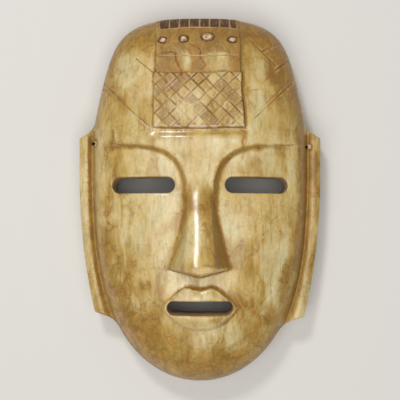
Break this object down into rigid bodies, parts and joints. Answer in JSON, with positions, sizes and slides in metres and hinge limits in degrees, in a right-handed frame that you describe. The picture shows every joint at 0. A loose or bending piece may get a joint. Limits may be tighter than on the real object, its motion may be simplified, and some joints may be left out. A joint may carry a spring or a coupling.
{
  "type": "stone effigy mask",
  "caption": "Hollow-backed carved stone face mask with pierced eye and mouth slots, ear flanges and a netted headdress panel on the forehead.",
  "frame": {"origin": "under the middle of the mask, on the surface that its back rim rests on", "axes": "+Z out of the face, +Y towards the crown, +X to the right of a viewer who looks the mask in the face"},
  "size_m": [0.1456, 0.22, 0.0651],
  "materials": {
    "stone": "polished banded onyx marble, honey and buff with brown veins"
  },
  "bodies": {
    "root": {"mask": "stone"}
  },
  "joints": []
}
